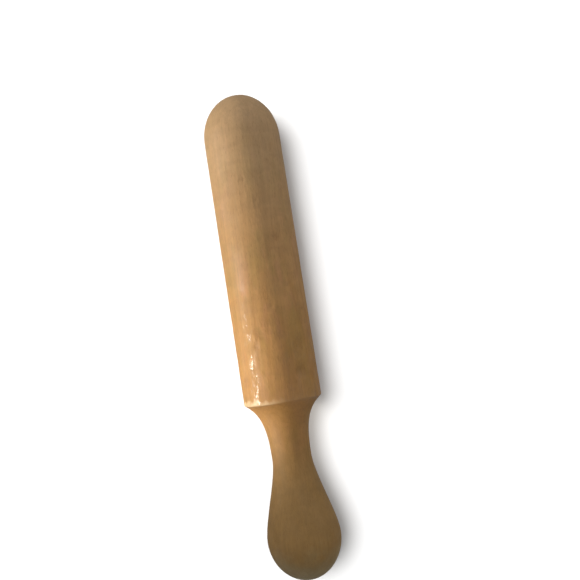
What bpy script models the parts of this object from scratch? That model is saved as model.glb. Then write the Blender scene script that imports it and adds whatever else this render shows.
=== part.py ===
"""Clave: one hand-held percussion stick, turned from a single piece of hardwood.

The stick lies on its side along X. The long striking barrel ends in a dome
towards +X; a cove narrows it to the neck, which the hand holds, and the
handle swells again into a pear-shaped bulb with a round end towards -X.
The origin is midway along the stick, on the surface that it rests on.
"""

import math

import bmesh
import bpy

# Driving dimensions, in metres and degrees.
BARREL_RADIUS = 0.0198       # the straight striking cylinder
BARREL_LENGTH = 0.1607       # dome tip to the shoulder edge
DOME_LENGTH = 0.0232         # a little longer than a half sphere
SHOULDER_ROUND = 0.0010      # radius that eases the shoulder edge
COVE_LENGTH = 0.0284         # shoulder edge to the thinnest point of the neck
COVE_ANGLE = 55.0            # how steeply the cove leaves the shoulder
COVE_START_PULL = 0.0100     # how long the cove keeps that steepness
COVE_END_PULL = 0.0125       # how gently the cove runs out into the neck
NECK_RADIUS = 0.0100
BULB_RADIUS = 0.0186         # the handle's widest ring
BULB_RISE_LENGTH = 0.0400    # neck to that widest ring
NECK_PULL = 0.0110           # how slowly the handle starts to swell
BULB_PULL = 0.0090           # how roundly it reaches the widest ring
BULB_END_LENGTH = 0.0209     # widest ring to the end of the handle

# Fineness of the solid. The segment count is even, so a flat lies at the bottom.
SEGMENTS = 48
DOME_STEPS = 9
SHOULDER_STEPS = 3
COVE_STEPS = 10
RISE_STEPS = 12
END_STEPS = 9

# Hand-worn hardwood under a dull varnish.
WOOD_COLOUR = (0.500, 0.275, 0.105, 1.0)
WOOD_ROUGHNESS = 0.55
WOOD_METALLIC = 0.0

# Places along the lathe axis, measured from the shoulder towards the dome.
NECK_X = -COVE_LENGTH
BULB_X = NECK_X - BULB_RISE_LENGTH
HANDLE_END_X = BULB_X - BULB_END_LENGTH
POLE_MERGE = 1e-6


def quarter_ellipse(centre, length, radius, steps):
    """Points (x, r) from the axis tip at centre + length out to the full radius."""
    points = []
    for i in range(steps):
        angle = 0.5 * math.pi * i / steps
        points.append((centre + length * math.cos(angle), radius * math.sin(angle)))
    return points


def bezier(start, start_handle, end_handle, end, steps):
    """Points of a cubic curve, without its first one."""
    points = []
    for i in range(1, steps + 1):
        v = i / steps
        weights = ((1 - v) ** 3, 3 * (1 - v) ** 2 * v, 3 * (1 - v) * v ** 2, v ** 3)
        corners = (start, start_handle, end_handle, end)
        points.append(tuple(sum(w * c[axis] for w, c in zip(weights, corners)) for axis in (0, 1)))
    return points


def dome():
    """The head: a half ellipse that ends where the straight barrel begins."""
    dome_base = BARREL_LENGTH - DOME_LENGTH
    return quarter_ellipse(dome_base, DOME_LENGTH, BARREL_RADIUS, DOME_STEPS) + [(dome_base, BARREL_RADIUS)]


def shoulder():
    """The rounded edge where the barrel ends, turning by the cove's angle."""
    turn = math.radians(COVE_ANGLE)
    centre_x = SHOULDER_ROUND * math.tan(turn / 2)
    centre_r = BARREL_RADIUS - SHOULDER_ROUND
    points = []
    for i in range(SHOULDER_STEPS + 1):
        angle = turn * i / SHOULDER_STEPS
        points.append((centre_x - SHOULDER_ROUND * math.sin(angle),
                       centre_r + SHOULDER_ROUND * math.cos(angle)))
    return points


def cove(start):
    """The hollow curve from the shoulder down to the neck."""
    turn = math.radians(COVE_ANGLE)
    start_handle = (start[0] - COVE_START_PULL * math.cos(turn),
                    start[1] - COVE_START_PULL * math.sin(turn))
    end_handle = (NECK_X + COVE_END_PULL, NECK_RADIUS)
    return bezier(start, start_handle, end_handle, (NECK_X, NECK_RADIUS), COVE_STEPS)


def handle_rise():
    """The slow swell from the neck to the bulb's widest ring."""
    return bezier((NECK_X, NECK_RADIUS), (NECK_X - NECK_PULL, NECK_RADIUS),
                  (BULB_X + BULB_PULL, BULB_RADIUS), (BULB_X, BULB_RADIUS), RISE_STEPS)


def bulb_end():
    """The round end of the handle, from below the widest ring to the axis."""
    tip_to_ring = quarter_ellipse(-BULB_X, BULB_END_LENGTH, BULB_RADIUS, END_STEPS)
    return [(-x, r) for x, r in reversed(tip_to_ring)]


def stick_profile():
    """The whole turned outline as (x, r), from the dome tip to the handle end."""
    edge = shoulder()
    return dome() + edge + cove(edge[-1]) + handle_rise() + bulb_end()


def turn_on_lathe(name, profile):
    """Turn a profile about the X axis into one closed body."""
    mesh = bpy.data.meshes.new(name)
    bm = bmesh.new()
    verts = [bm.verts.new((x, 0.0, r)) for x, r in profile]
    edges = [bm.edges.new(pair) for pair in zip(verts, verts[1:])]
    bmesh.ops.spin(bm, geom=verts + edges, cent=(0.0, 0.0, 0.0), axis=(1.0, 0.0, 0.0),
                   angle=2 * math.pi, steps=SEGMENTS, use_merge=True)
    bmesh.ops.remove_doubles(bm, verts=bm.verts, dist=POLE_MERGE)
    bmesh.ops.recalc_face_normals(bm, faces=bm.faces)
    bm.to_mesh(mesh)
    bm.free()
    mesh.shade_smooth()
    return mesh


def wood():
    material = bpy.data.materials.new("turned_hardwood")
    material.use_nodes = True
    shader = material.node_tree.nodes["Principled BSDF"]
    shader.inputs["Base Color"].default_value = WOOD_COLOUR
    shader.inputs["Roughness"].default_value = WOOD_ROUGHNESS
    shader.inputs["Metallic"].default_value = WOOD_METALLIC
    return material


def clave_stick():
    """The stick, laid along X on one of its flats, centred over the origin."""
    stick = bpy.data.objects.new("clave_stick", turn_on_lathe("clave_stick", stick_profile()))
    half_facet = math.pi / SEGMENTS
    stick.rotation_euler.x = half_facet
    stick.location.x = -0.5 * (BARREL_LENGTH + HANDLE_END_X)
    stick.location.z = max(BARREL_RADIUS, BULB_RADIUS) * math.cos(half_facet)
    stick.data.materials.append(wood())
    bpy.context.scene.collection.objects.link(stick)


def clear_scene():
    for thing in list(bpy.data.objects):
        bpy.data.objects.remove(thing, do_unlink=True)


def main():
    clear_scene()
    clave_stick()


main()
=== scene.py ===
"""Clave studio: a turned hardwood clave, worn by playing, on a pale studio floor.

The stick is turned about the lathe axis of the CAD stick, so it lies along X
with its domed head towards +X. All sizes are in metres.
"""

import math
import random

import bmesh
import bpy
from bpy.props import FloatProperty, FloatVectorProperty, IntProperty, PointerProperty
from mathutils import Matrix, Vector
from mathutils.kdtree import KDTree


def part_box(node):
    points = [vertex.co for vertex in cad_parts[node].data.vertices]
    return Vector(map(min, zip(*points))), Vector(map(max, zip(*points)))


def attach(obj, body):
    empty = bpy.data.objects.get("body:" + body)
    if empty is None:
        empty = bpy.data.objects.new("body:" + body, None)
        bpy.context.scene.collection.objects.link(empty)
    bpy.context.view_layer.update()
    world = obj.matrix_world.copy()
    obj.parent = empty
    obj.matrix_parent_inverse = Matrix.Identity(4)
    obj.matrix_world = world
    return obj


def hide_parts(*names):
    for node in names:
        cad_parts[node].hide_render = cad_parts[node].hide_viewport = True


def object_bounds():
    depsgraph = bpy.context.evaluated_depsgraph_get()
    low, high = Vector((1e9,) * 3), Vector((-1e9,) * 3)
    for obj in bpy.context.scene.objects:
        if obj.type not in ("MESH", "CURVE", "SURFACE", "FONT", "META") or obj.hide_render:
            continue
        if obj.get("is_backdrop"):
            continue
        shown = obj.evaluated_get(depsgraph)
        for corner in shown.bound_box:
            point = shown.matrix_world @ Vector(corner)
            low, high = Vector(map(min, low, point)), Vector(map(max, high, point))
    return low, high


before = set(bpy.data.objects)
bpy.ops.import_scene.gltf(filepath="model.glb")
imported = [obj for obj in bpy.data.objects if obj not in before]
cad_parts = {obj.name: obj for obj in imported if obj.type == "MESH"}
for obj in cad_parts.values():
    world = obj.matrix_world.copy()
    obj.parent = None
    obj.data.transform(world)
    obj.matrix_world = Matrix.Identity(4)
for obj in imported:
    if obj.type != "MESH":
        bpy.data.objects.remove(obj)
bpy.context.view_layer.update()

bl_info = {
    "name": "Clave Studio",
    "version": (1, 0, 0),
    "blender": (4, 5, 0),
    "location": "View3D > Sidebar > Clave",
    "description": "Turns a played-in hardwood clave and sets it on a pale studio floor",
    "category": "Object",
}

CAD_STICK = "clave_stick"

# The lathe axis and the two ends of the stick, from the CAD stick.
LOW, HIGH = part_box(CAD_STICK)
AXIS_HEIGHT = 0.5 * (LOW.z + HIGH.z)
HEAD_TIP_X = HIGH.x
HANDLE_END_X = LOW.x
CAD_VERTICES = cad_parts[CAD_STICK].data.vertices
CAD_RADIUS = max(math.hypot(v.co.y, v.co.z - AXIS_HEIGHT) for v in CAD_VERTICES)
FIT = 0.0002                 # how far the turned end may be from the CAD end
MERGE = 1e-6

# Fineness of the turned outline.
SHOULDER_STEPS = 5
QUARTER_STRETCH = 1.4        # about how much longer a round end's outline is than its stretch of the axis
COVE_STRETCH = 1.2           # the same for the cove

# The stretch of barrel that is played on.
PLAYED_FROM = 0.002          # its lower end, above the shoulder
PLAYED_LENGTH = 0.110
CROWDING = 1.5               # above 1, the dents crowd towards the shoulder
KNOCK_SPACING = 0.7          # between the knocks of one dent, as a share of their radius

# How the billet was cut: beside the pith, with grain that runs out of the stick by a degree or two.
PITH_Y, PITH_Z = 0.021, -0.034
GRAIN_SLANT = (0.0, math.radians(1.3), math.radians(1.8))

FLOOR_WIDTH = 8.0


# ---------------------------------------------------------------- settings

class ClaveShape(bpy.types.PropertyGroup):
    """Sizes of the turned stick"""
    barrel_radius: FloatProperty(
        name="Barrel radius", description="Radius of the straight striking barrel",
        default=CAD_RADIUS, unit="LENGTH", precision=4)
    barrel_length: FloatProperty(
        name="Barrel length", description="Dome tip to the shoulder edge",
        default=0.1607, unit="LENGTH", precision=4)
    dome_length: FloatProperty(
        name="Dome length", description="Length of the rounded head",
        default=0.0232, unit="LENGTH", precision=4)
    shoulder_round: FloatProperty(
        name="Shoulder round", description="Radius that eases the shoulder edge",
        default=0.0010, unit="LENGTH", precision=4)
    cove_length: FloatProperty(
        name="Cove length", description="Shoulder edge to the thinnest point of the neck",
        default=0.0284, unit="LENGTH", precision=4)
    cove_angle: FloatProperty(
        name="Cove angle", description="How steeply the cove leaves the shoulder",
        default=math.radians(55.0), subtype="ANGLE")
    cove_start_pull: FloatProperty(
        name="Cove start pull", description="How long the cove keeps that steepness",
        default=0.0100, unit="LENGTH", precision=4)
    cove_end_pull: FloatProperty(
        name="Cove end pull", description="How gently the cove runs out into the neck",
        default=0.0125, unit="LENGTH", precision=4)
    neck_radius: FloatProperty(
        name="Neck radius", description="Radius at the thinnest point of the neck",
        default=0.0100, unit="LENGTH", precision=4)
    bulb_radius: FloatProperty(
        name="Bulb radius", description="Radius of the handle's widest ring",
        default=0.0186, unit="LENGTH", precision=4)
    bulb_rise_length: FloatProperty(
        name="Bulb rise length", description="Neck to the handle's widest ring",
        default=0.0400, unit="LENGTH", precision=4)
    neck_pull: FloatProperty(
        name="Neck pull", description="How slowly the handle starts to swell",
        default=0.0110, unit="LENGTH", precision=4)
    bulb_pull: FloatProperty(
        name="Bulb pull", description="How roundly the handle reaches its widest ring",
        default=0.0090, unit="LENGTH", precision=4)
    bulb_end_length: FloatProperty(
        name="Bulb end length", description="Widest ring to the end of the handle",
        default=0.0209, unit="LENGTH", precision=4)
    ring_spacing: FloatProperty(
        name="Ring spacing", description="Distance between the turned rings",
        default=0.00095, unit="LENGTH", precision=5)
    around: IntProperty(
        name="Steps around", description="Number of faces round the stick",
        default=240, min=24)


class ClaveWear(bpy.types.PropertyGroup):
    """What sanding and playing have left on the surface"""
    unevenness: FloatProperty(
        name="Unevenness", description="Height of the slow waves that hand sanding left",
        default=0.00014, unit="LENGTH", precision=5)
    wave_size: FloatProperty(
        name="Wave size", description="Width of those waves",
        default=0.012, unit="LENGTH", precision=4)
    hits: IntProperty(
        name="Hits", description="Number of dents that the other stick has left on the barrel",
        default=64, min=0)
    hit_depth: FloatProperty(
        name="Hit depth", description="Depth of the deepest dent",
        default=0.00024, unit="LENGTH", precision=5)
    hit_size: FloatProperty(
        name="Hit size", description="Radius of the widest dent",
        default=0.0038, unit="LENGTH", precision=4)
    nicks: IntProperty(
        name="Edge nicks", description="Number of small nicks along the shoulder edge",
        default=14, min=0)
    nick_depth: FloatProperty(
        name="Nick depth", description="Depth of the deepest nick",
        default=0.00030, unit="LENGTH", precision=5)
    seed: IntProperty(
        name="Seed", description="Picks another set of dents and nicks", default=11)


class ClaveFinish(bpy.types.PropertyGroup):
    """Colours of the wood, with painted shade and a painted highlight among them, and gloss of its varnish"""
    wood: FloatVectorProperty(
        name="Wood", description="Colour of the pale wood under its varnish",
        subtype="COLOR", size=4, default=(0.590, 0.308, 0.098, 1.0))
    late_wood: FloatVectorProperty(
        name="Late wood", description="Colour of the darker bands of the growth rings",
        subtype="COLOR", size=4, default=(0.475, 0.226, 0.062, 1.0))
    pore: FloatVectorProperty(
        name="Pores", description="Colour of the pores and ray flecks",
        subtype="COLOR", size=4, default=(0.250, 0.100, 0.028, 1.0))
    rose: FloatVectorProperty(
        name="Rose cast", description="Tint of the pinkish patches",
        subtype="COLOR", size=4, default=(0.630, 0.300, 0.128, 1.0))
    olive: FloatVectorProperty(
        name="Olive cast", description="Tint of the olive patches",
        subtype="COLOR", size=4, default=(0.470, 0.275, 0.066, 1.0))
    # The head is blended towards a paler, greyer colour.
    pale_head: FloatVectorProperty(
        name="Dry head", description="Pale, dry wood towards the head, where the varnish has gone",
        subtype="COLOR", size=4, default=(0.575, 0.372, 0.190, 1.0))
    # Painted shade: a darker, richer tone around the shoulder that stands in for the shade of a hand held
    # round the neck.
    shoulder_shade: FloatVectorProperty(
        name="Oiled wood", description="Richer wood around the shoulder, fed by the oil of the hand",
        subtype="COLOR", size=4, default=(0.455, 0.225, 0.060, 1.0))
    # Painted shade: the darker, olive handle stands in for the shade that a holding hand casts on it.
    handle_shade: FloatVectorProperty(
        name="Hand patina", description="What years of hands have left on the handle",
        subtype="COLOR", size=4, default=(0.360, 0.205, 0.062, 1.0))
    end_patina: FloatVectorProperty(
        name="End patina", description="Grey-green patina on the end grain of the bulb",
        subtype="COLOR", size=4, default=(0.420, 0.325, 0.170, 1.0))
    # Pale colour of the band above the shoulder edge: bare wood, lightened into a painted highlight.
    rubbed: FloatVectorProperty(
        name="Rubbed edge", description="Bare wood where the shoulder edge has rubbed through the varnish",
        subtype="COLOR", size=4, default=(0.860, 0.620, 0.350, 1.0))
    ring_spacing: FloatProperty(
        name="Ring spacing", description="Width of one growth ring",
        default=0.0026, unit="LENGTH", precision=4)
    roughness: FloatProperty(
        name="Roughness", description="Roughness of the worn satin varnish",
        default=0.62, subtype="FACTOR")
    gloss_coat: FloatProperty(
        name="Gloss coat", description="Weight of the glossy top coat where it is left",
        default=0.42, subtype="FACTOR")
    gloss_roughness: FloatProperty(
        name="Gloss roughness", description="Roughness of the glossy top coat",
        default=0.16, subtype="FACTOR")


class ClaveStudio(bpy.types.PropertyGroup):
    """Camera, floor and lights"""
    camera_distance: FloatProperty(
        name="Camera distance", description="Camera to the point that it looks at",
        default=0.3818, unit="LENGTH")
    camera_aim: FloatVectorProperty(
        name="Camera aim", description="Where the camera looks, along the stick and across it",
        size=2, default=(0.01935, -0.0124), unit="LENGTH", precision=4)
    camera_lens: FloatProperty(
        name="Camera lens", description="Focal length, in millimetres",
        default=45.9, unit="CAMERA")
    camera_lean: FloatProperty(
        name="Camera lean", description="How far the camera leans towards the handle",
        default=math.radians(5.0), subtype="ANGLE")
    camera_roll: FloatProperty(
        name="Camera roll", description="Turn of the stick in the frame, head to the left",
        default=math.radians(9.07), subtype="ANGLE")
    floor_colour: FloatVectorProperty(
        name="Floor colour", description="Colour of the studio floor",
        subtype="COLOR", size=4, default=(0.86, 0.86, 0.86, 1.0))
    floor_bounce: FloatVectorProperty(
        name="Floor bounce", description="Colour of the floor in the light that it throws back on the stick",
        subtype="COLOR", size=4, default=(0.17, 0.17, 0.17, 1.0))
    floor_lift: FloatProperty(
        name="Floor lift", description="Glow of the floor, which keeps the shadows pale",
        default=0.06)
    floor_light: FloatProperty(
        name="Floor light", description="Strength of the light on the floor", default=2.9)
    floor_light_size: FloatProperty(
        name="Floor light size", description="Width of that light in the sky, which softens the shadow",
        default=math.radians(30.0), subtype="ANGLE")
    room_light: FloatProperty(
        name="Room light", description="Brightness of the room all round", default=0.42)
    room_colour: FloatVectorProperty(
        name="Room colour", description="Colour of the room's walls",
        subtype="COLOR", size=4, default=(1.0, 0.995, 0.985, 1.0))
    backdrop: FloatVectorProperty(
        name="Backdrop", description="Colour that shows beyond the floor",
        subtype="COLOR", size=4, default=(0.90, 0.90, 0.90, 1.0))
    key_power: FloatProperty(
        name="Key power", description="Power of the low softbox along the barrel, in watts",
        default=0.060, unit="POWER")
    gleam_power: FloatProperty(
        name="Gleam power", description="Power of the narrow strip beside the shoulder, in watts",
        default=0.0036, unit="POWER")
    cove_power: FloatProperty(
        name="Cove power", description="Power of the small softbox that looks into the cove, in watts",
        default=0.0048, unit="POWER")
    key_height: FloatProperty(
        name="Key height", description="Angle of the softboxes above the floor",
        default=math.radians(13.5), subtype="ANGLE")
    softbox_distance: FloatProperty(
        name="Softbox distance", description="Softboxes to the lathe axis",
        default=0.35, unit="LENGTH")
    grid_spread: FloatProperty(
        name="Grid spread", description="Angle that the grids let the light out at",
        default=math.radians(16.0), subtype="ANGLE")
    lamp_colour: FloatVectorProperty(
        name="Lamp colour", description="Slightly warm white of the softboxes",
        subtype="COLOR", size=3, default=(1.0, 0.95, 0.86))


# ---------------------------------------------------------------- outline

def quarter_ellipse(centre, length, radius, steps):
    """Points (x, r) from the tip at centre + length out to just short of the full radius."""
    angles = [0.5 * math.pi * i / steps for i in range(steps)]
    return [(centre + length * math.cos(a), radius * math.sin(a)) for a in angles]


def bezier(start, start_handle, end_handle, end, steps):
    """Points of a cubic curve, without its first one."""
    points = []
    for i in range(1, steps + 1):
        v = i / steps
        weights = ((1 - v) ** 3, 3 * (1 - v) ** 2 * v, 3 * (1 - v) * v ** 2, v ** 3)
        corners = (start, start_handle, end_handle, end)
        points.append(tuple(sum(w * c[axis] for w, c in zip(weights, corners)) for axis in (0, 1)))
    return points


def shoulder_at(shape):
    """Where the barrel ends and the cove begins, on the lathe axis."""
    return HEAD_TIP_X - shape.barrel_length


def ring_count(shape, length):
    """How many rings fit into that length of outline at the ring spacing."""
    return max(3, round(length / shape.ring_spacing))


def dome(shape):
    """The head: a half ellipse that ends where the straight barrel begins."""
    return quarter_ellipse(HEAD_TIP_X - shape.dome_length, shape.dome_length, shape.barrel_radius,
                           ring_count(shape, QUARTER_STRETCH * shape.dome_length))


def barrel(shape, end_x):
    """The straight barrel, from the dome to just short of end_x."""
    start_x = HEAD_TIP_X - shape.dome_length
    count = ring_count(shape, start_x - end_x)
    return [(start_x + (end_x - start_x) * i / count, shape.barrel_radius) for i in range(count)]


def shoulder(shape):
    """The eased edge where the barrel ends, turning by the cove's angle."""
    ease = shape.shoulder_round
    turn = shape.cove_angle
    centre_x = shoulder_at(shape) + ease * math.tan(turn / 2)
    centre_r = shape.barrel_radius - ease
    angles = [turn * i / SHOULDER_STEPS for i in range(SHOULDER_STEPS + 1)]
    return [(centre_x - ease * math.sin(a), centre_r + ease * math.cos(a)) for a in angles]


def cove(shape, start, neck):
    """The hollow curve from the shoulder down to the neck."""
    start_handle = (start[0] - shape.cove_start_pull * math.cos(shape.cove_angle),
                    start[1] - shape.cove_start_pull * math.sin(shape.cove_angle))
    end_handle = (neck[0] + shape.cove_end_pull, neck[1])
    return bezier(start, start_handle, end_handle, neck,
                  ring_count(shape, COVE_STRETCH * shape.cove_length))


def handle_rise(shape, neck, bulb):
    """The slow swell from the neck to the bulb's widest ring."""
    start_handle = (neck[0] - shape.neck_pull, neck[1])
    end_handle = (bulb[0] + shape.bulb_pull, bulb[1])
    return bezier(neck, start_handle, end_handle, bulb, ring_count(shape, shape.bulb_rise_length))


def bulb_end(shape, bulb):
    """The round end of the handle, from below the widest ring to the axis."""
    tip_to_ring = quarter_ellipse(-bulb[0], shape.bulb_end_length, bulb[1],
                                  ring_count(shape, QUARTER_STRETCH * shape.bulb_end_length))
    return [(-x, r) for x, r in reversed(tip_to_ring)]


def stick_outline(shape):
    """The turned outline as (x, r), from the dome tip to the handle end, in the frame's place."""
    edge = shoulder(shape)
    neck = (shoulder_at(shape) - shape.cove_length, shape.neck_radius)
    bulb = (neck[0] - shape.bulb_rise_length, shape.bulb_radius)
    points = dome(shape) + barrel(shape, edge[0][0]) + edge
    points += cove(shape, edge[-1], neck) + handle_rise(shape, neck, bulb) + bulb_end(shape, bulb)
    if abs(points[-1][0] - HANDLE_END_X) > FIT:
        raise RuntimeError("the turned outline no longer ends where the CAD stick ends")
    return points


# ---------------------------------------------------------------- stick

def deselect_all():
    """Leave nothing selected, because an operator acts on all that is."""
    bpy.ops.object.select_all(action="DESELECT")


def turn_outline(outline, around):
    """Draw the outline point by point from one vertex, then spin it about the lathe axis."""
    deselect_all()
    bpy.ops.mesh.primitive_plane_add(size=0.01, location=(0.0, 0.0, 0.0))
    stick = bpy.context.object
    stick.name = "turned_clave"
    bpy.ops.object.mode_set(mode="EDIT")
    bpy.ops.mesh.merge(type="CENTER")
    x, r = outline[0]
    bpy.ops.transform.translate(value=(x, 0.0, AXIS_HEIGHT + r))
    for (x0, r0), (x1, r1) in zip(outline, outline[1:]):
        bpy.ops.mesh.extrude_region_move(TRANSFORM_OT_translate={"value": (x1 - x0, 0.0, r1 - r0)})
    bpy.ops.mesh.select_all(action="SELECT")
    bpy.ops.mesh.spin(steps=around, angle=2 * math.pi, center=(0.0, 0.0, AXIS_HEIGHT), axis=(1.0, 0.0, 0.0))
    bpy.ops.mesh.select_all(action="SELECT")
    bpy.ops.mesh.remove_doubles(threshold=MERGE)
    bpy.ops.mesh.normals_make_consistent(inside=False)
    bpy.ops.object.mode_set(mode="OBJECT")
    bpy.ops.object.shade_smooth()
    return stick


def sand_by_hand(stick, wear):
    """Slow, shallow waves all over, which break up the highlights."""
    waves = bpy.data.textures.new("hand_sanding", "CLOUDS")
    waves.noise_scale = wear.wave_size
    waves.noise_depth = 1
    ripple = stick.modifiers.new("hand_sanding", "DISPLACE")
    ripple.texture = waves
    ripple.texture_coords = "LOCAL"
    ripple.strength = wear.unevenness
    ripple.mid_level = 0.5
    bpy.ops.object.modifier_apply(modifier=ripple.name)


def planned_hits(shape, wear):
    """(x, angle, radius, depth) of each dent and nick, from a seeded draw.

    The dents crowd towards the shoulder, and most are two or three knocks side by side.
    """
    chance = random.Random(wear.seed)
    shoulder_x = shoulder_at(shape)
    hits = []
    for _ in range(wear.hits):
        x = shoulder_x + PLAYED_FROM + PLAYED_LENGTH * chance.random() ** CROWDING
        angle = chance.uniform(0.0, 2 * math.pi)
        size = wear.hit_size * chance.uniform(0.30, 1.0)
        depth = wear.hit_depth * chance.uniform(0.25, 0.8)
        slant = chance.uniform(-0.9, 0.9)
        for knock in range(chance.choice((1, 2, 2, 3))):
            step = KNOCK_SPACING * size * knock
            along, around = step * math.cos(slant), step * math.sin(slant)
            hits.append((x + along, angle + around / shape.barrel_radius, size, depth))
    for _ in range(wear.nicks):
        x = shoulder_x + chance.uniform(-0.0002, 0.0012)
        angle = chance.uniform(0.0, 2 * math.pi)
        size = chance.uniform(0.0011, 0.0022)
        hits.append((x, angle, size, wear.nick_depth * chance.uniform(0.4, 1.0)))
    return hits


def press_hits(stick, hits, radius):
    """Press the mesh in at each hit, with a soft falloff."""
    tree = KDTree(len(stick.data.vertices))
    for vertex in stick.data.vertices:
        tree.insert(vertex.co, vertex.index)
    tree.balance()
    bpy.ops.object.mode_set(mode="EDIT")
    bpy.context.tool_settings.mesh_select_mode = (True, False, False)
    mesh = bmesh.from_edit_mesh(stick.data)
    mesh.verts.ensure_lookup_table()
    for x, angle, size, depth in hits:
        outward = Vector((0.0, math.sin(angle), math.cos(angle)))
        _, nearest, _ = tree.find(Vector((x, 0.0, AXIS_HEIGHT)) + radius * outward)
        bpy.ops.mesh.select_all(action="DESELECT")
        mesh.verts[nearest].select_set(True)
        bpy.ops.transform.translate(
            value=tuple(-depth * outward), use_proportional_edit=True,
            proportional_edit_falloff="SPHERE", proportional_size=size)
    bpy.ops.object.mode_set(mode="OBJECT")


def knock_dents(stick, shape, wear):
    """Press the dents and nicks in, and keep their depth as the attribute "dent"."""
    before = [vertex.co.copy() for vertex in stick.data.vertices]
    press_hits(stick, planned_hits(shape, wear), shape.barrel_radius)
    dent = stick.data.attributes.new("dent", "FLOAT", "POINT")
    for vertex in stick.data.vertices:
        depth = (vertex.co - before[vertex.index]).length
        dent.data[vertex.index].value = min(1.0, depth / wear.hit_depth)


# ---------------------------------------------------------------- wood

def add_node(tree, kind, inputs=None, **settings):
    """A new node with its settings, and its inputs as values or as sockets to link from."""
    node = tree.nodes.new(kind)
    for name, value in settings.items():
        setattr(node, name, value)
    for name, value in (inputs or {}).items():
        if isinstance(value, bpy.types.NodeSocket):
            tree.links.new(value, node.inputs[name])
        else:
            node.inputs[name].default_value = value
    return node


def noise(tree, place, size, detail=3.0, roughness=0.5, distortion=0.0, offset=(0.0, 0.0, 0.0)):
    """Noise whose patches measure about size = (x, y, z) metres."""
    stretch = add_node(tree, "ShaderNodeMapping", {
        "Vector": place, "Location": offset, "Scale": tuple(1.0 / length for length in size)})
    return add_node(tree, "ShaderNodeTexNoise", {
        "Vector": stretch.outputs["Vector"], "Scale": 1.0, "Detail": detail,
        "Roughness": roughness, "Distortion": distortion}).outputs["Fac"]


def ramp(tree, value, low, high, to_low=0.0, to_high=1.0):
    """A smooth step from to_low at low to to_high at high."""
    return add_node(tree, "ShaderNodeMapRange", {
        "Value": value, "From Min": low, "From Max": high, "To Min": to_low, "To Max": to_high},
        interpolation_type="SMOOTHSTEP").outputs["Result"]


def maths(tree, operation, a, b=0.0):
    """The result of one operation on numbers or sockets."""
    return add_node(tree, "ShaderNodeMath", {0: a, 1: b}, operation=operation).outputs["Value"]


def blend(tree, amount, under, over, mode="MIX"):
    """The colour under, with over laid on it by that amount."""
    mix = add_node(tree, "ShaderNodeMix", data_type="RGBA", blend_type=mode)
    factor, under_socket, over_socket = mix.inputs[0], mix.inputs[6], mix.inputs[7]
    for socket, value in ((factor, amount), (under_socket, under), (over_socket, over)):
        if isinstance(value, bpy.types.NodeSocket):
            tree.links.new(value, socket)
        else:
            socket.default_value = value
    return mix.outputs[2]


def shaded(tree, colour, shade):
    """The colour, times a shade that may be brighter than white."""
    even = add_node(tree, "ShaderNodeCombineXYZ", {"X": shade, "Y": shade, "Z": shade})
    return blend(tree, 1.0, colour, even.outputs["Vector"], "MULTIPLY")


def bump(tree, height, strength, distance, under=None):
    """The normal of that relief, laid over the normal under it."""
    inputs = {"Height": height, "Strength": strength, "Distance": distance}
    if under:
        inputs["Normal"] = under
    return add_node(tree, "ShaderNodeBump", inputs).outputs["Normal"]


def growth_rings(tree, grain, finish):
    """Bands about a pith outside the billet, so they run along the stick and arc over its ends."""
    pith = add_node(tree, "ShaderNodeMapping", {
        "Vector": grain, "Location": (0.0, -PITH_Y, -PITH_Z), "Scale": (0.10, 1.0, 1.0)})
    radians_at_scale_1 = 20.0
    return add_node(tree, "ShaderNodeTexWave", {
        "Vector": pith.outputs["Vector"], "Scale": 2 * math.pi / (radians_at_scale_1 * finish.ring_spacing),
        "Distortion": 5.0, "Detail": 2.0, "Detail Scale": 0.16, "Detail Roughness": 0.55},
        wave_type="RINGS", rings_direction="X", wave_profile="SAW").outputs["Fac"]


def heartwood(tree, place, grain, finish):
    """Growth rings, with broad pinkish and olive patches over them."""
    rings = ramp(tree, growth_rings(tree, grain, finish), 0.30, 0.98, to_high=0.45)
    colour = blend(tree, rings, finish.wood, finish.late_wood)
    rose = noise(tree, place, size=(0.030, 0.012, 0.012), detail=4.0, roughness=0.6)
    colour = blend(tree, ramp(tree, rose, 0.48, 0.64, to_high=0.60), colour, finish.rose)
    olive = noise(tree, place, size=(0.024, 0.010, 0.010), detail=4.0, roughness=0.6, offset=(3.1, 1.7, 5.2))
    return blend(tree, ramp(tree, olive, 0.48, 0.66, to_high=0.60), colour, finish.olive)


def along_stick(tree, place):
    """Distance along the lathe axis, with a ragged edge so that nothing ends in a straight line."""
    split = add_node(tree, "ShaderNodeSeparateXYZ", {"Vector": place})
    ragged = noise(tree, place, size=(0.009, 0.009, 0.009), detail=4.0, roughness=0.6)
    raggedness = 0.024
    shift = maths(tree, "MULTIPLY", maths(tree, "SUBTRACT", ragged, 0.5), raggedness)
    return maths(tree, "ADD", split.outputs["X"], shift)


def aged_and_shaded(tree, place, colour, shape, finish):
    """A paler, greyer head, painted shade of a holding hand around the shoulder and over the handle, and
    patina on the end of the handle.
    """
    x = along_stick(tree, place)
    shoulder_x = shoulder_at(shape)
    neck_x = shoulder_x - shape.cove_length
    tones = (      # colour, where it begins, where it is at its strongest, and how strong it is there
        # Paler and greyer towards the head.
        (finish.pale_head, HEAD_TIP_X - 0.85 * shape.barrel_length, HEAD_TIP_X + 0.010, 0.95),
        # Painted shade of a holding hand, darkest just below the shoulder.
        (finish.shoulder_shade, shoulder_x + 0.060, shoulder_x - 0.004, 0.65),
        # Painted shade of a holding hand over the handle.
        (finish.handle_shade, neck_x + 0.022, neck_x - 0.018, 0.90),
        (finish.end_patina, HANDLE_END_X + shape.bulb_end_length, HANDLE_END_X, 0.85),
    )
    for tone, begins_x, full_x, strength in tones:
        colour = blend(tree, ramp(tree, x, begins_x, full_x, to_high=strength), colour, tone)
    return colour


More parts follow.
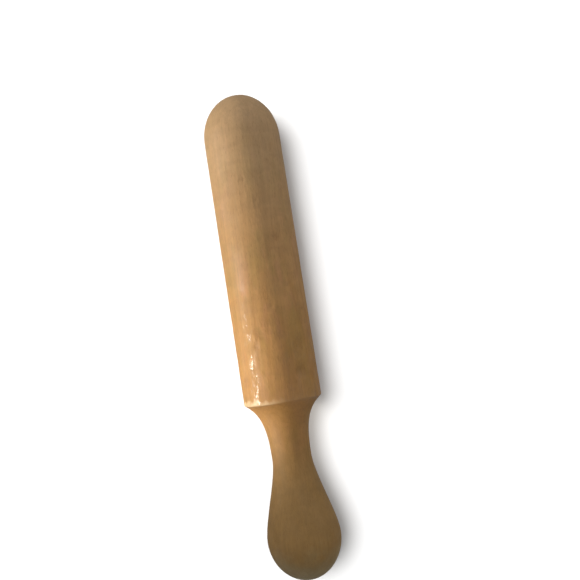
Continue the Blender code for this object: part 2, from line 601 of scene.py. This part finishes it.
def figured(tree, place, grain, colour, finish):
    """Fibres, the soft cross bands of curly wood, and short dark pores."""
    fibres = noise(tree, grain, size=(0.040, 0.0012, 0.0012), detail=4.0, roughness=0.6)
    colour = shaded(tree, colour, ramp(tree, fibres, 0.30, 0.70, to_low=0.95, to_high=1.05))
    curl = noise(tree, place, size=(0.006, 0.009, 0.009), detail=3.0, roughness=0.55, distortion=0.6)
    colour = shaded(tree, colour, ramp(tree, curl, 0.32, 0.68, to_low=0.95, to_high=1.05))
    pores = noise(tree, grain, size=(0.0030, 0.00030, 0.00030), detail=1.0)
    return blend(tree, ramp(tree, pores, 0.60, 0.72, to_high=0.32), colour, finish.pore)


def dirty(tree, place, colour, finish):
    """Dirt in the dents."""
    dent = add_node(tree, "ShaderNodeAttribute", attribute_name="dent").outputs["Fac"]
    dirt = maths(tree, "MULTIPLY", dent, noise(tree, place, size=(0.0016, 0.0008, 0.0008)))
    return blend(tree, ramp(tree, dirt, 0.10, 0.60, to_high=0.24), colour, finish.pore)


def rubbed_and_highlit_edge(tree, place, colour, shape, finish):
    """A pale band along the lower end of the barrel: partly bare wood rubbed through the varnish, partly a
    painted highlight of the eased edge, kept mostly to the lit side (+Y), which faces the softboxes.
    """
    shoulder_x = shoulder_at(shape)
    split = add_node(tree, "ShaderNodeSeparateXYZ", {"Vector": place})
    # The band fades away from +Y, the side that the softboxes light, as a painted highlight does.
    lit_side = ramp(tree, split.outputs["Y"], -0.004, 0.013, to_low=0.08)
    above_cove = ramp(tree, split.outputs["X"], shoulder_x - 0.0006, shoulder_x)
    ragged = noise(tree, place, size=(0.006, 0.003, 0.003), detail=5.0, roughness=0.65)
    reach = ramp(tree, ragged, 0.25, 0.75, to_high=0.0032)
    worn = maths(tree, "SUBTRACT", split.outputs["X"], reach)
    # Painted highlight: the pale band, strongest on the lit side.
    rubbed = ramp(tree, worn, shoulder_x + 0.0014, shoulder_x - 0.0016, to_high=0.78)
    rubbed = maths(tree, "MULTIPLY", maths(tree, "MULTIPLY", rubbed, above_cove), lit_side)
    return blend(tree, rubbed, colour, finish.rubbed)


def surface_relief(tree, place, grain):
    """Open pores and fibres under the soft, uneven skin of the varnish."""
    pores = noise(tree, grain, size=(0.0030, 0.00030, 0.00030), detail=2.0)
    relief = bump(tree, pores, strength=0.55, distance=0.00005)
    fibres = noise(tree, grain, size=(0.020, 0.0008, 0.0008), roughness=0.6)
    relief = bump(tree, fibres, strength=0.5, distance=0.00005, under=relief)
    skin = noise(tree, place, size=(0.0034, 0.0022, 0.0022), detail=2.0)
    return bump(tree, skin, strength=0.7, distance=0.00022, under=relief)


def gloss_left(tree, place, shape, finish):
    """Islands of the glossy top coat on the barrel above the shoulder, and the shoulder's polished edge."""
    x = add_node(tree, "ShaderNodeSeparateXYZ", {"Vector": place}).outputs["X"]
    shoulder_x = shoulder_at(shape)
    above = ramp(tree, x, shoulder_x + 0.075, shoulder_x + 0.008, to_high=finish.gloss_coat)
    on_barrel = ramp(tree, x, shoulder_x - 0.0020, shoulder_x - 0.0002)
    patches = noise(tree, place, size=(0.0045, 0.0022, 0.0022), detail=4.0, roughness=0.65)
    more = ramp(tree, x, shoulder_x + 0.015, shoulder_x + 0.003, to_high=0.08)
    islands = ramp(tree, maths(tree, "ADD", patches, more), 0.50, 0.62)
    islands = maths(tree, "MULTIPLY", maths(tree, "MULTIPLY", above, on_barrel), islands)
    edge_x = shoulder_x + 0.2 * shape.shoulder_round
    from_edge = maths(tree, "ABSOLUTE", maths(tree, "SUBTRACT", x, edge_x))
    polish = ramp(tree, from_edge, 0.0012, 0.0005, to_high=finish.gloss_coat)
    return maths(tree, "MAXIMUM", islands, polish)


def gloss_relief(tree, place):
    """Fine ripples, which break the gloss into glints."""
    ripples = noise(tree, place, size=(0.0017, 0.0009, 0.0009), detail=2.0)
    return bump(tree, ripples, strength=0.8, distance=0.00022)


def varnish_roughness(tree, place, finish):
    """Satin, rubbed glossier in some patches and duller in others."""
    patches = noise(tree, place, size=(0.014, 0.008, 0.008), detail=4.0, roughness=0.65)
    spread = 0.10
    return ramp(tree, patches, 0.28, 0.72, finish.roughness - spread, finish.roughness + spread)


def hardwood(shape, finish):
    """Pale brown hardwood, solid through and through, under a worn satin varnish."""
    material = bpy.data.materials.new("turned_hardwood")
    material.use_nodes = True
    tree = material.node_tree
    shader = tree.nodes["Principled BSDF"]
    place = add_node(tree, "ShaderNodeTexCoord").outputs["Object"]
    slanted = add_node(tree, "ShaderNodeMapping", {"Vector": place, "Rotation": GRAIN_SLANT})
    grain = slanted.outputs["Vector"]
    colour = aged_and_shaded(tree, place, heartwood(tree, place, grain, finish), shape, finish)
    colour = figured(tree, place, grain, colour, finish)
    colour = dirty(tree, place, colour, finish)
    colour = rubbed_and_highlit_edge(tree, place, colour, shape, finish)
    tree.links.new(colour, shader.inputs["Base Color"])
    tree.links.new(varnish_roughness(tree, place, finish), shader.inputs["Roughness"])
    tree.links.new(surface_relief(tree, place, grain), shader.inputs["Normal"])
    tree.links.new(gloss_left(tree, place, shape, finish), shader.inputs["Coat Weight"])
    tree.links.new(gloss_relief(tree, place), shader.inputs["Coat Normal"])
    shader.inputs["Coat Roughness"].default_value = finish.gloss_roughness
    return material


class CLAVE_OT_turn_stick(bpy.types.Operator):
    """Turn the stick on the lathe axis, wear it in and give it its wood"""
    bl_idname = "clave.turn_stick"
    bl_label = "Turn the stick"

    def execute(self, context):
        scene = context.scene
        stick = turn_outline(stick_outline(scene.clave_shape), scene.clave_shape.around)
        sand_by_hand(stick, scene.clave_wear)
        knock_dents(stick, scene.clave_shape, scene.clave_wear)
        stick.data.materials.append(hardwood(scene.clave_shape, scene.clave_finish))
        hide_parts(CAD_STICK)
        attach(stick, "root")
        return {"FINISHED"}


# ---------------------------------------------------------------- stage

def lay_floor(studio):
    """A plain pale floor, which throws back less light on the stick than it shows."""
    deselect_all()
    bpy.ops.mesh.primitive_plane_add(size=FLOOR_WIDTH, location=(0.0, 0.0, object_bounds()[0][2]))
    floor = bpy.context.object
    floor.name = "studio_floor"
    material = bpy.data.materials.new("studio_floor")
    material.use_nodes = True
    tree = material.node_tree
    shader = tree.nodes["Principled BSDF"]
    seen = add_node(tree, "ShaderNodeLightPath").outputs["Is Camera Ray"]
    tree.links.new(blend(tree, seen, studio.floor_bounce, studio.floor_colour), shader.inputs["Base Color"])
    shader.inputs["Roughness"].default_value = 0.9
    shader.inputs["Specular IOR Level"].default_value = 0.1
    shader.inputs["Emission Color"].default_value = (1.0, 1.0, 1.0, 1.0)
    shader.inputs["Emission Strength"].default_value = studio.floor_lift
    floor.data.materials.append(material)
    floor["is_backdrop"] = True
    return floor


def add_light(kind, name, target, direction, distance):
    """A light that looks at the target from that direction."""
    direction = Vector(direction).normalized()
    lamp = bpy.data.lights.new(name, kind)
    light = bpy.data.objects.new(name, lamp)
    bpy.context.scene.collection.objects.link(light)
    light.location = Vector(target) + distance * direction
    light.rotation_euler = direction.to_track_quat("Z", "Y").to_euler()
    return light


def light_floor(floor, studio):
    """A soft light that only the floor receives, so the stick's shadow falls to the right of it."""
    light = add_light("SUN", "floor_light", target=(0.0, 0.0, 0.0), direction=(0.17, 0.33, 1.0), distance=1.0)
    light.data.energy = studio.floor_light
    light.data.angle = studio.floor_light_size
    only_floor = bpy.data.collections.new("lit_by_floor_light")
    only_floor.objects.link(floor)
    light.light_linking.receiver_collection = only_floor


def add_softbox(name, studio, power, x, direction, size):
    """A softbox that looks at the lathe axis at x, with a grid that keeps its light to the stretch there.

    Its size is its length along the stick and its height.
    """
    softbox = add_light("AREA", name, (x, 0.0, AXIS_HEIGHT), direction, studio.softbox_distance)
    softbox.data.shape = "RECTANGLE"
    softbox.data.size, softbox.data.size_y = size
    softbox.data.energy = power
    softbox.data.color = studio.lamp_colour
    softbox.data.spread = studio.grid_spread


def light_stick(studio):
    """Low softboxes on the left: along the barrel, for a gleam at its lower end, and into the cove."""
    left = (0.0, math.cos(studio.key_height), math.sin(studio.key_height))
    past_handle = (-0.55, 0.80, 0.28)
    add_softbox("barrel_softbox", studio, studio.key_power, x=0.0365, direction=left, size=(0.187, 0.130))
    add_softbox("gleam_strip", studio, studio.gleam_power, x=-0.020, direction=left, size=(0.060, 0.022))
    add_softbox("cove_softbox", studio, studio.cove_power,
                x=-0.043, direction=past_handle, size=(0.050, 0.080))


def light_room(studio):
    """A pale room, brighter beyond the head of the stick than beyond the handle."""
    world = bpy.data.worlds.new("studio_room")
    bpy.context.scene.world = world
    world.use_nodes = True
    tree = world.node_tree
    room = tree.nodes["Background"]
    room.inputs["Color"].default_value = studio.room_colour
    direction = add_node(tree, "ShaderNodeTexCoord").outputs["Generated"]
    towards_head = add_node(tree, "ShaderNodeSeparateXYZ", {"Vector": direction}).outputs["X"]
    beyond_handle = 0.30 * studio.room_light
    beyond_head = 1.60 * studio.room_light
    tree.links.new(ramp(tree, towards_head, -1.0, 1.0, beyond_handle, beyond_head), room.inputs["Strength"])
    backdrop = add_node(tree, "ShaderNodeBackground", {"Color": studio.backdrop})
    seen = add_node(tree, "ShaderNodeLightPath").outputs["Is Camera Ray"]
    both = add_node(tree, "ShaderNodeMixShader", {
        0: seen, 1: room.outputs["Background"], 2: backdrop.outputs["Background"]})
    tree.links.new(both.outputs["Shader"], tree.nodes["World Output"].inputs["Surface"])


def set_camera(studio):
    """The camera looks down on the stick, a little from the handle's side, with the head to the left."""
    aim = Vector((*studio.camera_aim, AXIS_HEIGHT))
    back = Vector((-math.sin(studio.camera_lean), 0.0, math.cos(studio.camera_lean)))
    head = Vector((math.cos(studio.camera_lean), 0.0, math.sin(studio.camera_lean)))
    side = head.cross(back)
    roll = studio.camera_roll
    right = math.cos(roll) * side - math.sin(roll) * head
    up = math.sin(roll) * side + math.cos(roll) * head
    lens = bpy.data.cameras.new("studio_camera")
    lens.lens = studio.camera_lens
    lens.clip_start = 0.01
    camera = bpy.data.objects.new("studio_camera", lens)
    bpy.context.scene.collection.objects.link(camera)
    camera.matrix_world = (Matrix.Translation(aim + studio.camera_distance * back)
                           @ Matrix((right, up, back)).transposed().to_4x4())
    bpy.context.scene.camera = camera


class CLAVE_OT_set_stage(bpy.types.Operator):
    """Lay the pale floor, and set the soft lights and the camera"""
    bl_idname = "clave.set_stage"
    bl_label = "Set the stage"

    def execute(self, context):
        studio = context.scene.clave_studio
        floor = lay_floor(studio)
        light_floor(floor, studio)
        light_stick(studio)
        light_room(studio)
        set_camera(studio)
        context.scene.view_settings.view_transform = "Standard"
        return {"FINISHED"}


# ---------------------------------------------------------------- add-on

class CLAVE_PT_studio(bpy.types.Panel):
    """Lists the settings, each group above the operator that uses it"""
    bl_idname = "CLAVE_PT_studio"
    bl_label = "Clave Studio"
    bl_space_type = "VIEW_3D"
    bl_region_type = "UI"
    bl_category = "Clave"

    def draw(self, context):
        scene = context.scene
        for group in (scene.clave_shape, scene.clave_wear, scene.clave_finish):
            for name in group.__annotations__:
                self.layout.prop(group, name)
        self.layout.operator(CLAVE_OT_turn_stick.bl_idname)
        for name in scene.clave_studio.__annotations__:
            self.layout.prop(scene.clave_studio, name)
        self.layout.operator(CLAVE_OT_set_stage.bl_idname)


GROUPS = {
    "clave_shape": ClaveShape,
    "clave_wear": ClaveWear,
    "clave_finish": ClaveFinish,
    "clave_studio": ClaveStudio,
}
CLASSES = (*GROUPS.values(), CLAVE_OT_turn_stick, CLAVE_OT_set_stage, CLAVE_PT_studio)


def register():
    for cls in CLASSES:
        bpy.utils.register_class(cls)
    for name, group in GROUPS.items():
        setattr(bpy.types.Scene, name, PointerProperty(type=group))


def unregister():
    for name in GROUPS:
        delattr(bpy.types.Scene, name)
    for cls in reversed(CLASSES):
        bpy.utils.unregister_class(cls)


def main():
    register()
    bpy.ops.clave.turn_stick()
    bpy.ops.clave.set_stage()


if __name__ == "__main__":
    main()
